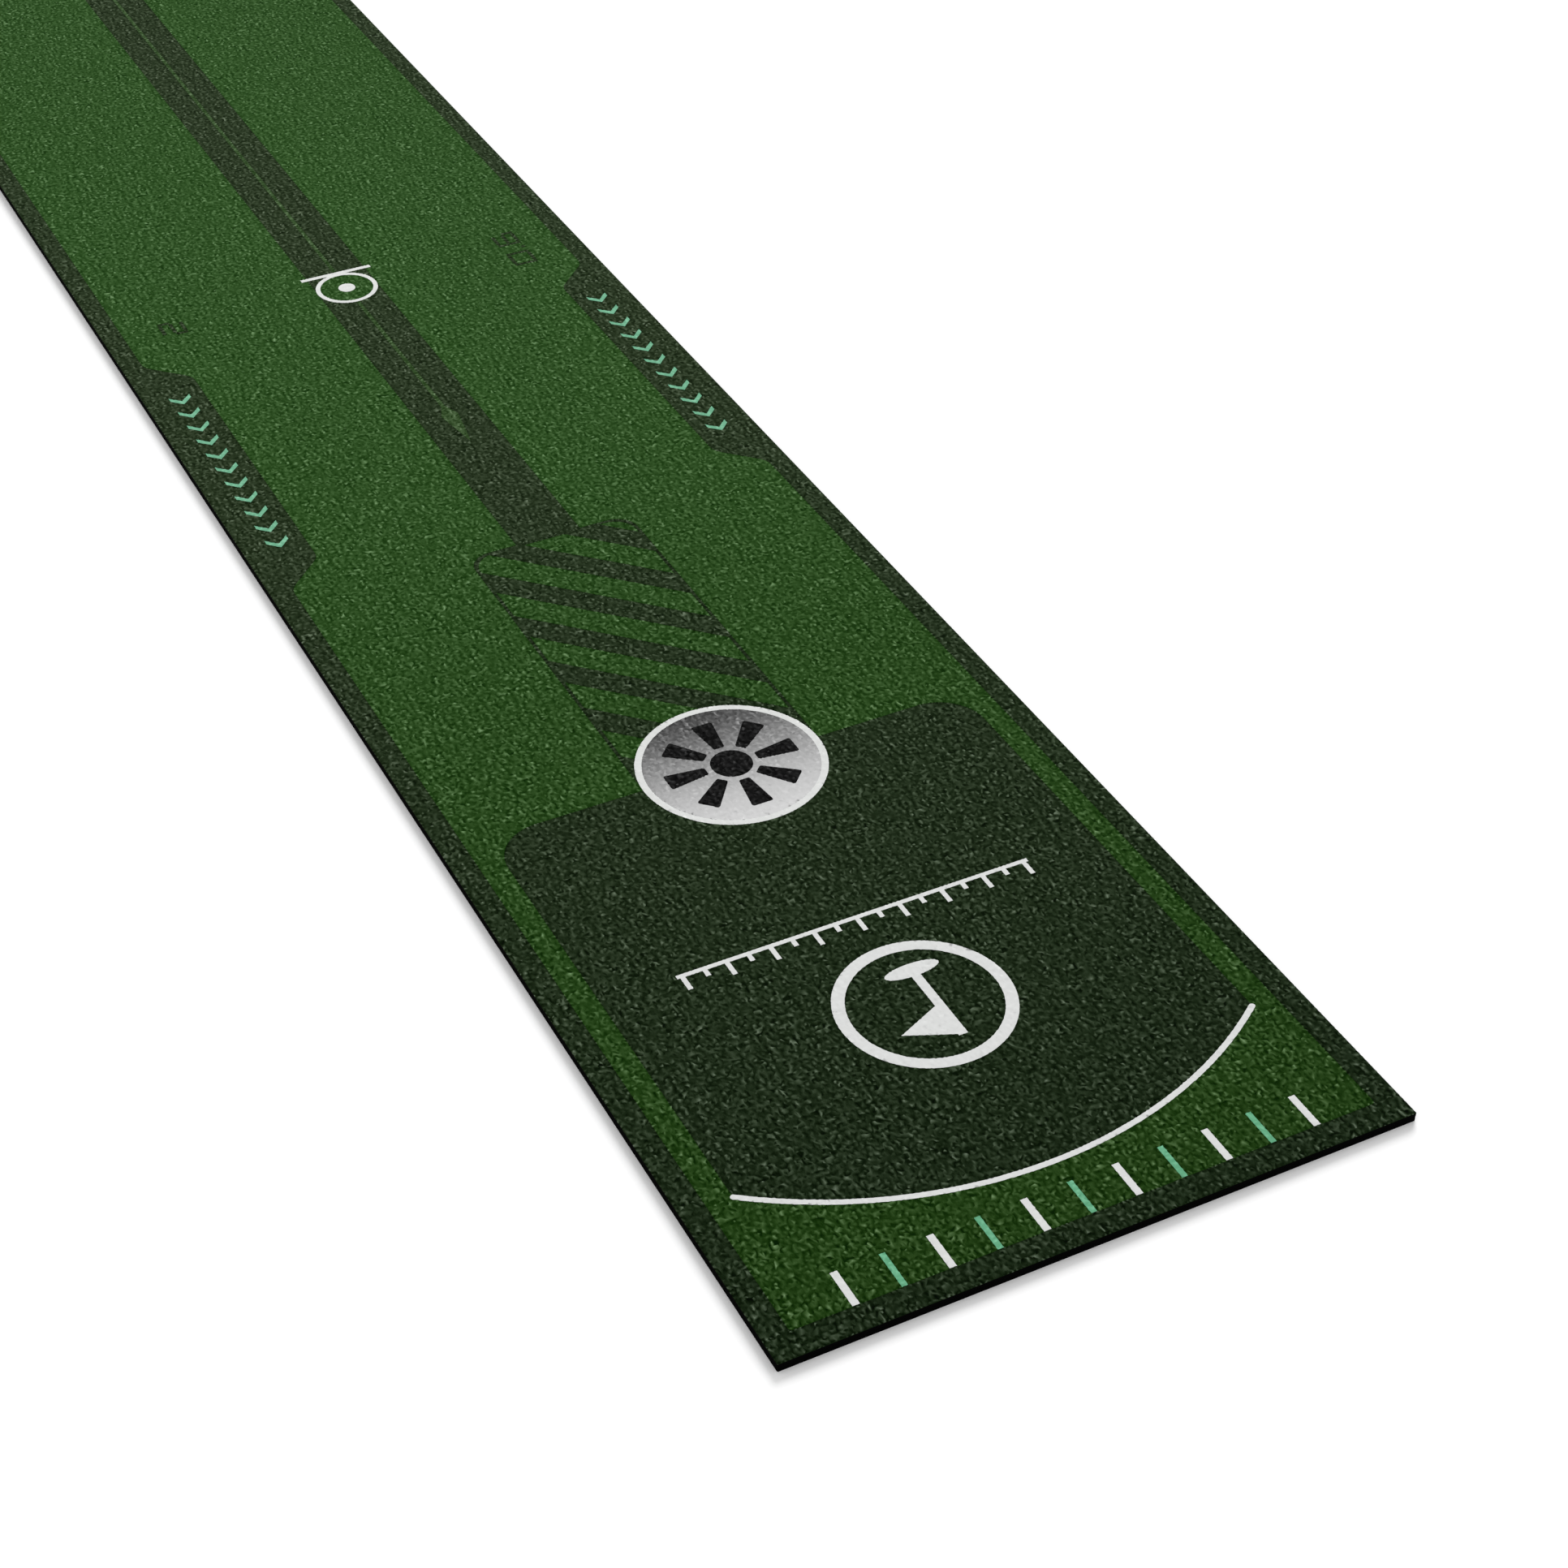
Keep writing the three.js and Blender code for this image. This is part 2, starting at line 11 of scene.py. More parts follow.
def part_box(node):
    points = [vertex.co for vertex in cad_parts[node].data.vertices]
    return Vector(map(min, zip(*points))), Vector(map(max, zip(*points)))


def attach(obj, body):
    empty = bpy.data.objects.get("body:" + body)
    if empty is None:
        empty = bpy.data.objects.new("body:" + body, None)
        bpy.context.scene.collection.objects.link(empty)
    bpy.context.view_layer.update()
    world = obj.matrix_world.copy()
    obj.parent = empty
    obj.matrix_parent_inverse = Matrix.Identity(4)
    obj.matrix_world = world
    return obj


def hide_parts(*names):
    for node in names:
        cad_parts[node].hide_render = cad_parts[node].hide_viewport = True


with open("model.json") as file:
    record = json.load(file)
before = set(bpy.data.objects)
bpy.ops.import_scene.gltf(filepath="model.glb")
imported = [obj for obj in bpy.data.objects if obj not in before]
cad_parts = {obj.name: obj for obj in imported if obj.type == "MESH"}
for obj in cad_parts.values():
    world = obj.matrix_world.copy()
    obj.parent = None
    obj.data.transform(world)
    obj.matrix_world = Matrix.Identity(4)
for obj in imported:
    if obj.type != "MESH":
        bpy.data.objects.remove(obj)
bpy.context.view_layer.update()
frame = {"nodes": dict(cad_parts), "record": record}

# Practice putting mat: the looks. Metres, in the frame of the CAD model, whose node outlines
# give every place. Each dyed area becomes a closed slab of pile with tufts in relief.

LOW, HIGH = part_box("rubber_base")
PILE_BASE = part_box("field")[0].z
PILE_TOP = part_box("field")[1].z

# Camera: a long lens that looks down the mat from beyond its cup end. Angles are in degrees,
# lens and sensor in millimetres.
LENS = 68.5
SENSOR_WIDTH = 36.0
CAMERA_PLACE = (-0.5761, -2.2858, 1.0329)
CAMERA_HEADING = -27.19
CAMERA_DOWN = 38.34
CAMERA_ROLL = 0.15

# Light: a white room and a soft sun over the far right. Both together show a white surface
# LIGHT_LEVEL times as bright as display white, and every dye is divided by that.
ROOM_STRENGTH = 0.75
SUN_STRENGTH = 2.5
SUN_SPREAD = 28
SUN_FROM = (4.5, 6.0, 4.1)
LIGHT_LEVEL = 1.12

# Floor: so wide that its edge never shows, seen from any side.
FLOOR_HALF = 300.0
FLOOR_COLOUR = (0.97, 0.97, 0.97, 1)

# A display level turns linear as ((level / 255 + DISPLAY_LIFT) / (1 + DISPLAY_LIFT)) to the
# power of DISPLAY_POWER.
DISPLAY_LIFT = 0.055
DISPLAY_POWER = 2.4

# Pile: one vertex is one tuft, and tufts lie longer along the mat than across it. The jitter is
# a share of the step between tufts. The palest tufts stand TUFT_PROUD above the CAD's top face,
# and the darkest TUFT_DEPTH lower than them. None is nearer an outline than EDGE_CLEARANCE.
TUFT_X = 0.00070
TUFT_Y = 0.0030
TUFT_JITTER = 0.36
TUFT_DEPTH = 0.00030
TUFT_PROUD = 0.00010
EDGE_CLEARANCE = 0.0005
OUTLINE_STEP = 0.0012

# Tuft tones: 0 is dark, 1 the mean. A low TONE_SHAPE gives few pale tufts among many dark ones.
# LIKE_NEXT makes a tuft like those ahead and behind. EVENNESS takes away a share of what the
# EVEN_OVER tufts on each side have above the mean, so that pale tufts don't clump.
TONE_SHAPE = 2.6
PALEST_TUFT = 3.2
LIKE_NEXT = 0.3
EVENNESS = 0.8
EVEN_OVER = 3

# Print edges wander by up to WAVER in waves. Each pair is how fast a wave turns across and along
# the mat, in radians per WAVER_SIZE. The tufts on them lie at a share of TUFT_DEPTH that swings
# by TONE_SWING about TONE_MIDDLE, in waves of their own, and their tone follows from it.
WAVER = 0.00012
WAVER_SIZE = 0.0011
WAVER_X_WAVES = ((2.1, 3.7), (-1.3, 4.3))
WAVER_Y_WAVES = ((3.1, -2.3), (3.9, 1.1))
TONE_WAVES = ((2.9, 1.9), (-3.3, 2.3))
TONE_MIDDLE = 0.52
TONE_SWING = 0.24

# The pile sinks by ROLL_DROP over the last ROLL_OFF to the mat's own edge. Walls closer to that
# edge than OUTER_WALL are drawn near black, as painted shade on a cut edge. Long areas are
# built in lengths, for the export.
ROLL_OFF = 0.0012
ROLL_DROP = 0.00012
OUTER_WALL = 0.0007
LENGTH_OF_PIECE = 0.605

# The CAD leaves a gap between dyed areas. Pieces of pile grow to close it. Pale print is drawn
# in by PALE_TRIM, the aiming line's dye has spread by LINE_SPREAD, and neighbours follow where
# their outlines come nearer than BESIDE.
HALF_GAP = 0.00015
PALE_TRIM = 0.00015
PALE_SLOTS = ("pile_white", "pile_mint")
LINE_SPREAD = 0.0004
BESIDE = 0.00075

# Display levels that one step of tuft tone adds to a dye, and what fibres and wear add. The
# sizes of fibres and wear are across and along the mat.
GRAIN = 37.0
FIBRE_GRAIN = 26.0
FIBRE_SIZE = (0.00040, 0.0020)
WEAR_GRAIN = 3.0
WEAR_SIZE = (0.012, 0.018)

# Painted sheen: the pile is drawn deepest at the cup end and lighter along the mat, for the sheen
# of pile seen at a grazing angle. It reaches its lighter tone SHEEN_LENGTH along the mat. At
# SHEEN_MIDDLE of that length it has gone SHEEN_DONE of the way.
SHEEN_LENGTH = 1.0
SHEEN_MIDDLE = 0.7
SHEEN_DONE = 0.84

# The cup face is printed pale at its near side and dark at its far side, with more grain where
# it is dark. The places are shares of the way across it, the shades display levels.
CUP_SHADES = ((0.0, 212), (0.24, 194), (0.4, 175), (0.56, 152), (0.72, 127), (0.88, 94), (1.0, 76))
CUP_GRAIN = ((0.2, 0.12), (0.9, 0.9))

# Rubber: moulded dimples underneath. Backing: woven, with its yarns showing at the cut edge.
DIMPLE_PITCH = 0.0035
DIMPLE_DEPTH = 0.0006
DIMPLE_CLEARANCE = DIMPLE_PITCH / 3
YARN_STEP = 0.0009
YARN_SWELL = 0.00006

# Where a slab's wall has lines of its own, as shares of the way from its relief to its flat side.
PILE_WALL_LINES = (0.5,)
RUBBER_WALL_LINES = (0.08, 0.9)
CLOTH_WALL_LINES = (0.3, 0.7)

# Limits of the mesh work: how near heights and points count as the same or as on the mat's edge,
# what lengths are divided by at least, how sharp a corner may be mitred, what share of a step an
# outline may run over it, and how many points are tested against the outlines in one go.
SAME_HEIGHT = 1e-5
SAME_POINT = 1e-7
ON_EDGE = 1e-4
LEAST_LENGTH = 1e-9
LEAST_FACING = 0.4
STEP_SLACK = 0.01
BAND_POINTS = 500

# Distance numerals beside the ball marks.
NUMERAL_HEIGHT = 0.0175
NUMERAL_WIDTH = 0.0190
NUMERAL_STROKE = 0.0027
NUMERAL_GAP = 0.0004
NUMERAL_SPACING = 0.0045
NUMERAL_FROM_EDGE = 0.034
MARK_FEET = ("2", "4", "6", "8")
MARK_METRES = ("0.6", "1.2", "1.8", "2.4")

SEED = 11
rng = np.random.default_rng(SEED)


# ---- camera, floor and light ----


def add_camera():
    data = bpy.data.cameras.new("camera")
    data.lens = LENS
    data.sensor_width = SENSOR_WIDTH
    camera = bpy.data.objects.new("camera", data)
    bpy.context.scene.collection.objects.link(camera)
    heading = Matrix.Rotation(math.radians(CAMERA_HEADING), 4, "Z")
    tilt = Matrix.Rotation(math.radians(90 - CAMERA_DOWN), 4, "X")
    roll = Matrix.Rotation(math.radians(CAMERA_ROLL), 4, "Z")
    camera.matrix_world = Matrix.Translation(CAMERA_PLACE) @ heading @ tilt @ roll
    bpy.context.scene.camera = camera


def add_floor():
    signs = ((-1, -1), (1, -1), (1, 1), (-1, 1))
    corners = [(x * FLOOR_HALF, y * FLOOR_HALF, 0) for x, y in signs]
    mesh = bpy.data.meshes.new("floor")
    mesh.from_pydata(corners, [], [(0, 1, 2, 3)])
    floor = bpy.data.objects.new("floor", mesh)
    bpy.context.scene.collection.objects.link(floor)
    material, _, _, shader = new_material("floor_white", roughness=0.9, shine=0.1)
    shader.inputs["Base Color"].default_value = FLOOR_COLOUR
    mesh.materials.append(material)


def add_light():
    scene = bpy.context.scene
    scene.view_settings.view_transform = "Standard"
    world = bpy.data.worlds.new("studio")
    world.use_nodes = True
    background = world.node_tree.nodes["Background"]
    background.inputs["Color"].default_value = (1, 1, 1, 1)
    background.inputs["Strength"].default_value = ROOM_STRENGTH
    scene.world = world
    lamp = bpy.data.lights.new("sun", "SUN")
    lamp.energy = SUN_STRENGTH
    lamp.angle = math.radians(SUN_SPREAD)
    sun = bpy.data.objects.new("sun", lamp)
    scene.collection.objects.link(sun)
    sun.rotation_euler = Vector(SUN_FROM).to_track_quat("Z", "Y").to_euler()


# ---- materials ----


def new_material(name, roughness, shine):
    material = bpy.data.materials.new(name)
    material.use_nodes = True
    nodes = material.node_tree.nodes
    shader = nodes["Principled BSDF"]
    shader.inputs["Roughness"].default_value = roughness
    shader.inputs["Specular IOR Level"].default_value = shine
    return material, nodes, material.node_tree.links, shader


def lifted(*levels):
    """A colour of three 0 to 255 display levels, ready for the power that makes it linear."""
    return [(level / 255 + DISPLAY_LIFT) / (1 + DISPLAY_LIFT) for level in levels] + [1.0]


def grey(level):
    return lifted(level, level, level)


def ramp(nodes, links, factor, stops):
    """A colour that follows the factor through (position, colour or number) stops."""
    node = nodes.new("ShaderNodeValToRGB")
    elements = node.color_ramp.elements
    while len(elements) < len(stops):
        elements.new(0.5)
    for element, (position, colour) in zip(elements, stops):
        element.position = position
        element.color = colour if hasattr(colour, "__len__") else (colour, colour, colour, 1)
    links.new(factor, node.inputs["Fac"])
    return node.outputs["Color"]


def along_mat(nodes, links, start, end):
    """0 to 1 as a point goes along the mat from Y start to Y end."""
    place = nodes.new("ShaderNodeTexCoord")
    split = nodes.new("ShaderNodeSeparateXYZ")
    spread = nodes.new("ShaderNodeMapRange")
    spread.inputs["From Min"].default_value = start
    spread.inputs["From Max"].default_value = end
    links.new(place.outputs["Object"], split.inputs["Vector"])
    links.new(split.outputs["Y"], spread.inputs["Value"])
    return spread.outputs["Result"]


def noise(nodes, links, size, detail):
    """Noise with features of the given size, in metres, across and along the mat."""
    across, along = size
    place = nodes.new("ShaderNodeTexCoord")
    scale = nodes.new("ShaderNodeMapping")
    scale.inputs["Scale"].default_value = (1 / across, 1 / along, 1 / across)
    texture = nodes.new("ShaderNodeTexNoise")
    texture.inputs["Scale"].default_value = 1.0
    texture.inputs["Detail"].default_value = detail
    texture.inputs["Roughness"].default_value = 0.55
    links.new(place.outputs["Object"], scale.inputs["Vector"])
    links.new(scale.outputs["Vector"], texture.inputs["Vector"])
    return texture.outputs["Fac"]


def plugged(links, sockets, values):
    """Links a value to its socket, or sets it there if it is a constant."""
    for socket, value in zip(sockets, values):
        if isinstance(value, bpy.types.NodeSocket):
            links.new(value, socket)
        else:
            socket.default_value = value


def mixed(nodes, links, mode, a, b):
    node = nodes.new("ShaderNodeMix")
    node.data_type = "RGBA"
    node.blend_type = mode
    plugged(links, (node.inputs[0], node.inputs[6], node.inputs[7]), (1.0, a, b))
    return node.outputs[2]


def calculated(nodes, links, operation, *values):
    node = nodes.new("ShaderNodeMath")
    node.operation = operation
    plugged(links, node.inputs, values)
    return node.outputs[0]


def bump(nodes, links, shader, height, distance, strength):
    """Roughens the shader's surface: distance is how far, in metres, the height moves it."""
    node = nodes.new("ShaderNodeBump")
    node.inputs["Distance"].default_value = distance
    node.inputs["Strength"].default_value = strength
    links.new(height, node.inputs["Height"])
    links.new(node.outputs["Normal"], shader.inputs["Normal"])


def linear(nodes, links, colour, gain):
    """The lifted colour made linear and multiplied."""
    node = nodes.new("ShaderNodeGamma")
    node.inputs["Gamma"].default_value = DISPLAY_POWER
    links.new(colour, node.inputs["Color"])
    return mixed(nodes, links, "MULTIPLY", node.outputs["Color"], (gain, gain, gain, 1))


def pile_material(name, colour_stops, grain_stops, start, end):
    """Cut pile: a colour that changes along Y, dye lightened by painted sheen or print shading,
    with the same pale neutral grain in every dye.

    colour_stops and grain_stops go from Y start to Y end. Grain is a share of full strength."""
    material, nodes, links, shader = new_material(name, roughness=0.95, shine=0.02)
    along = along_mat(nodes, links, start, end)
    # dye is the dye lightened along the mat by painted sheen, or the cup's printed shading.
    dye = ramp(nodes, links, along, colour_stops)
    share = ramp(nodes, links, along, grain_stops)
    tuft = nodes.new("ShaderNodeAttribute")
    tuft.attribute_name = "tuft"
    fibres = noise(nodes, links, FIBRE_SIZE, detail=1.0)
    wear = noise(nodes, links, WEAR_SIZE, detail=2.0)
    middle = GRAIN + FIBRE_GRAIN / 2 + WEAR_GRAIN / 2
    level = calculated(nodes, links, "MULTIPLY_ADD", tuft.outputs["Fac"], GRAIN, -middle)
    level = calculated(nodes, links, "MULTIPLY_ADD", fibres, FIBRE_GRAIN, level)
    level = calculated(nodes, links, "MULTIPLY_ADD", wear, WEAR_GRAIN, level)
    level = calculated(nodes, links, "MULTIPLY", level, 1 / 255 / (1 + DISPLAY_LIFT))
    level = calculated(nodes, links, "MULTIPLY", level, share)
    shown = mixed(nodes, links, "ADD", dye, level)
    links.new(linear(nodes, links, shown, 1 / LIGHT_LEVEL), shader.inputs["Base Color"])
    bump(nodes, links, shader, fibres, distance=0.0003, strength=0.3)
    return material


def dark_material(name, size, darkest, palest, bump_height):
    """Near-black material with a fine grain of the given size in its colour and surface."""
    material, nodes, links, shader = new_material(name, roughness=0.9, shine=0.01)
    grain = noise(nodes, links, (size, size), detail=2.0)
    colour = ramp(nodes, links, grain, [(0.3, grey(darkest)), (0.7, grey(palest))])
    links.new(linear(nodes, links, colour, 1 / LIGHT_LEVEL), shader.inputs["Base Color"])
    links.new(ramp(nodes, links, grain, [(0.3, 0.8), (0.7, 0.95)]), shader.inputs["Roughness"])
    bump(nodes, links, shader, grain, distance=bump_height, strength=0.4)
    return material


def with_painted_sheen(name, near, far, grain):
    """A dye at its near display levels, lightened by painted sheen to its far levels over the
    sheen length, fastest at first.
    """
    middle = [a + (b - a) * SHEEN_DONE for a, b in zip(near, far)]
    colour_stops = [(0.0, lifted(*near)), (SHEEN_MIDDLE, lifted(*middle)), (1.0, lifted(*far))]
    grain_stops = [(0.0, grain), (1.0, grain)]
    return pile_material(name, colour_stops, grain_stops, LOW.y, LOW.y + SHEEN_LENGTH)


def cup_face_material():
    """Printed shading that makes the flat cup look hollow."""
    low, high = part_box("cup_face")
    shades = [(place, grey(level)) for place, level in CUP_SHADES]
    return pile_material("pile_grey", shades, CUP_GRAIN, low.y, high.y)


# The far levels of each pile are its near dye lightened by painted sheen.
MATERIALS = {
    "rubber": dark_material("nitrile_rubber", 0.0008, darkest=22, palest=40, bump_height=0.0002),
    "backing": dark_material("woven_backing", 0.0009, darkest=0, palest=5, bump_height=0.0003),
    "pile_dark": with_painted_sheen("pile_dark", (27, 40, 22), (43, 57, 35), 1.0),
    "pile_green": with_painted_sheen("pile_green", (34, 61, 20), (48, 81, 36), 1.0),
    "pile_white": with_painted_sheen("pile_white", (217, 218, 217), (225, 227, 224), 0.1),
    "pile_mint": with_painted_sheen("pile_mint", (104, 171, 133), (121, 183, 149), 0.4),
    "pile_grey": cup_face_material(),
    "pile_black": with_painted_sheen("pile_black", (23, 23, 23), (23, 23, 23), 0.7),
}
THIN_LINE = with_painted_sheen("pile_green_line", (44, 64, 30), (58, 82, 47), 1.0)
# Painted shade: the pile's walls on the mat's edge are drawn near black, for the shade on them.
PILE_WALL_SHADE = dark_material("pile_wall_painted_shade", 0.0004, darkest=0, palest=5, bump_height=0.0002)
# Painted shade: the rubber's walls on the mat's edge are drawn darker than the rubber, for the
# shade on them.
RUBBER_WALL_SHADE = dark_material("rubber_wall_painted_shade", 0.0006, darkest=0, palest=5, bump_height=0.0002)


# ---- outlines ----


def top_loops(node):
    """The closed outlines of a CAD node's top face, with the solid on the left of each."""
    mesh = frame["nodes"][node].data
    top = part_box(node)[1].z
    points, edges = {}, set()
    for face in mesh.polygons:
        corners = [mesh.vertices[i].co for i in face.vertices]
        if min(c.z for c in corners) < top - SAME_HEIGHT:
            continue
        keys = [(round(c.x, 6), round(c.y, 6)) for c in corners]
        points.update(zip(keys, ((c.x, c.y) for c in corners)))
        edges.update(zip(keys, keys[1:] + keys[:1]))
    follow = {a: b for a, b in edges if (b, a) not in edges}
    loops = []
    while follow:
        key = min(follow)
        loop = []
        while key in follow:
            loop.append(points[key])
            key = follow.pop(key)
        loops.append(np.array(loop))
    return loops


def grown(loop, amount):
    """The outline moved outwards, away from the solid on its left, point by point."""
    ahead = np.roll(loop, -1, 0) - loop
    ahead /= np.linalg.norm(ahead, axis=1)[:, None]
    behind = np.roll(ahead, 1, 0)
    normal = np.stack([ahead[:, 1] + behind[:, 1], -ahead[:, 0] - behind[:, 0]], 1)
    normal /= np.maximum(np.linalg.norm(normal, axis=1), LEAST_LENGTH)[:, None]
    facing = normal[:, 0] * ahead[:, 1] - normal[:, 1] * ahead[:, 0]
    moved = loop + normal * (amount / np.maximum(facing, LEAST_FACING))[:, None]
    return np.clip(moved, (LOW.x, LOW.y), (HIGH.x, HIGH.y))


def resampled(loop, step):
    """The outline with points no further apart than step, and none closer than a fifth of it."""
    far_enough = [loop[0]]
    for point in loop[1:]:
        if np.linalg.norm(point - far_enough[-1]) > step / 5:
            far_enough.append(point)
    loop = np.array(far_enough)
    pieces = []
    for a, b in zip(loop, np.roll(loop, -1, 0)):
        count = max(1, math.ceil(np.linalg.norm(b - a) / step - STEP_SLACK))
        pieces.append(a + (b - a) * (np.arange(count) / count)[:, None])
    return np.concatenate(pieces)


def sides(loops):
    """Where each side of the outlines starts and ends."""
    return np.concatenate(loops), np.concatenate([np.roll(loop, -1, 0) for loop in loops])


def inside(points, starts, ends):
    """Which points lie inside the sides, counting crossings to the right, band by band."""
    low = np.minimum(starts[:, 1], ends[:, 1])
    high = np.maximum(starts[:, 1], ends[:, 1])
    found = np.zeros(len(points), bool)
    order = np.argsort(points[:, 1], kind="stable")
    for band in np.array_split(order, max(1, len(points) // BAND_POINTS)):
        y = points[band, 1]
        near = (low <= y[-1]) & (high > y[0]) & (high > low)
        a, b = starts[near], ends[near]
        crosses = (low[near] <= y[:, None]) & (high[near] > y[:, None])
        share = (y[:, None] - a[:, 1]) / (b[:, 1] - a[:, 1])
        right = a[:, 0] + share * (b[:, 0] - a[:, 0]) > points[band, 0][:, None]
        found[band] = (crosses & right).sum(1) % 2 == 1
    return found


def clear_of(points, border, distance):
    """Which points are at least distance from every point of the border."""
    tree = KDTree(len(border))
    for i, (x, y) in enumerate(border):
        tree.insert((x, y, 0), i)
    tree.balance()
    return np.array([tree.find((x, y, 0))[2] >= distance for x, y in points], bool)


# ---- slabs ----


def spaced(low, high, step):
    """Places a step apart from low to high, with half a step before the first."""
    return np.arange(low + step / 2, high, step)


def scattered(step_x, step_y, jitter):
    """A grid of points over the whole mat, each moved at random by a share of its step."""
    grid = np.stack(np.meshgrid(spaced(LOW.x, HIGH.x, step_x), spaced(LOW.y, HIGH.y, step_y)), -1)
    grid[::2, :, 0] += step_x / 2
    grid = grid.reshape(-1, 2)
    return grid + rng.uniform(-jitter, jitter, grid.shape) * (step_x, step_y)


def meshed(points, edges):
    """Points, triangles and each point's source index (-1 for a new one) of a constrained mesh."""
    flat = [Vector(p) for p in points]
    found, _, faces, origins, _, _ = delaunay_2d_cdt(flat, edges, [], 0, SAME_POINT)
    source = np.array([o[0] if o else -1 for o in origins])
    return np.array([tuple(p) for p in found]), np.array(faces), source


def triangulated(loops, fill):
    """Points, triangles and sources that cover the outlines, with fill points between them."""
    edges, first = [], 0
    for loop in loops:
        edges += [(first + i, first + (i + 1) % len(loop)) for i in range(len(loop))]
        first += len(loop)
    found, faces, source = meshed(np.concatenate([*loops, fill]), edges)
    return found, faces[inside(found[faces].mean(1), *sides(loops))], source


def border_edges(faces):
    """The directed edges that only one triangle uses."""
    edges = np.concatenate([faces[:, [0, 1]], faces[:, [1, 2]], faces[:, [2, 0]]])
    size = faces.max() + 1
    forward = edges[:, 0] * size + edges[:, 1]
    back = edges[:, 1] * size + edges[:, 0]
    return edges[~np.isin(forward, back)]


def capped(points, edges):
    """Triangles, as indices into points, that close the area inside the directed edges."""
    used, index = np.unique(edges, return_inverse=True)
    index = index.reshape(edges.shape)
    found, faces, source = meshed(points[used], index.tolist())
    kept = inside(found[faces].mean(1), points[edges[:, 0]], points[edges[:, 1]])
    faces = source[faces[kept]]
    return used[faces[(faces >= 0).all(1)]]


def outward_at(points, edges):
    """The direction out of the solid at each point that a directed border edge touches."""
    along = points[edges[:, 1]] - points[edges[:, 0]]
    along /= np.maximum(np.linalg.norm(along, axis=1), LEAST_LENGTH)[:, None]
    side = np.stack([along[:, 1], -along[:, 0]], 1)
    outward = np.zeros(points.shape)
    np.add.at(outward, edges[:, 0], side)
    np.add.at(outward, edges[:, 1], side)
    return outward / np.maximum(np.linalg.norm(outward, axis=1), LEAST_LENGTH)[:, None]


def from_mat_edge(points):
    """How far each point is from the nearest edge of the mat."""
    across = HIGH.x - np.abs(points[:, 0])
    return np.minimum(across, HIGH.y - np.abs(points[:, 1]))


def add_piece(name, points, faces, looks, slots, sharp_edges, tuft):
    """A mesh object of triangles: slots picks a look for each, tuft is a tone for each point."""
    mesh = bpy.data.meshes.new(name)
    mesh.vertices.add(len(points))
    mesh.vertices.foreach_set("co", points.ravel())
    mesh.loops.add(faces.size)
    mesh.loops.foreach_set("vertex_index", faces.ravel().astype(np.int32))
    mesh.polygons.add(len(faces))
    mesh.polygons.foreach_set("loop_start", np.arange(0, faces.size, 3, dtype=np.int32))
    mesh.update(calc_edges=True)
    for material in looks:
        mesh.materials.append(material)
    mesh.polygons.foreach_set("material_index", slots)
    pairs = np.empty(len(mesh.edges) * 2, np.int32)
    mesh.edges.foreach_get("vertices", pairs)
    # Each edge becomes one number, made of its two points in order.
    every, wanted = [np.sort(e, 1) @ (len(points), 1) for e in (pairs.reshape(-1, 2), sharp_edges)]
    sharp = mesh.attributes.new("sharp_edge", "BOOLEAN", "EDGE")
    sharp.data.foreach_set("value", np.isin(every, wanted))
    tone = mesh.attributes.new("tuft", "FLOAT", "POINT")
    tone.data.foreach_set("value", tuft.astype(np.float32))
    piece = bpy.data.objects.new(name, mesh)
    bpy.context.scene.collection.objects.link(piece)
    return piece


def add_slab(name, plan, faces, relief, plain, looks, rows, tone=None, shift=None):
    """A closed body: a relief surface over the triangles, a plain one opposite it, and walls.

    relief is the height of each point and plain the height of the flat side, which may be
    above or below it. rows are (share of the way to the flat side, push outwards) for the
    wall's own lines between the two. Walls on the mat's edge get the second look, if any."""
    used, index = np.unique(faces, return_inverse=True)
    faces = index.reshape(faces.shape)
    plan = plan[used]
    relief = relief[used]
    points = shift(plan) if shift else plan
    edges = border_edges(faces)
    rim = np.unique(edges)
    outward = outward_at(points, edges)[rim]
    layers = [np.column_stack([points, relief])]
    row_of = [np.arange(len(points))]
    for share, push in [*rows, (1.0, rows[-1][1])]:
        height = relief[rim] + (plain - relief[rim]) * share
        moved = points[rim] + outward * np.reshape(push, (-1, 1))
        lookup = np.full(len(points), -1)
        lookup[rim] = sum(map(len, layers)) + np.arange(len(rim))
        layers.append(np.column_stack([moved, height]))
        row_of.append(lookup)
    start, end = edges.T
    walls = []
    for upper, lower in zip(row_of, row_of[1:]):
        walls.append(np.column_stack([upper[end], upper[start], lower[start]]))
        walls.append(np.column_stack([upper[end], lower[start], lower[end]]))
    closing = row_of[-1][capped(plan, edges)][:, ::-1]
    triangles = np.concatenate([faces, *walls, closing])
    slots = np.zeros(len(triangles), np.int32)
    if len(looks) > 1:
        outer = from_mat_edge(points[edges].mean(1)) < OUTER_WALL
        slots[len(faces):len(triangles) - len(closing)] = np.tile(outer, len(walls))
    if relief.mean() < plain:
        triangles = triangles[:, ::-1]
    everything = np.concatenate(layers)
    tuft = np.ones(len(everything))
    if tone is not None:
        tuft[:len(points)] = tone[used]
    return add_piece(name, everything, triangles, looks, slots, edges, tuft)


# ---- pile ----

TUFTS = scattered(TUFT_X, TUFT_Y, TUFT_JITTER)
TUFTS_ACROSS = len(spaced(LOW.x, HIGH.x, TUFT_X))


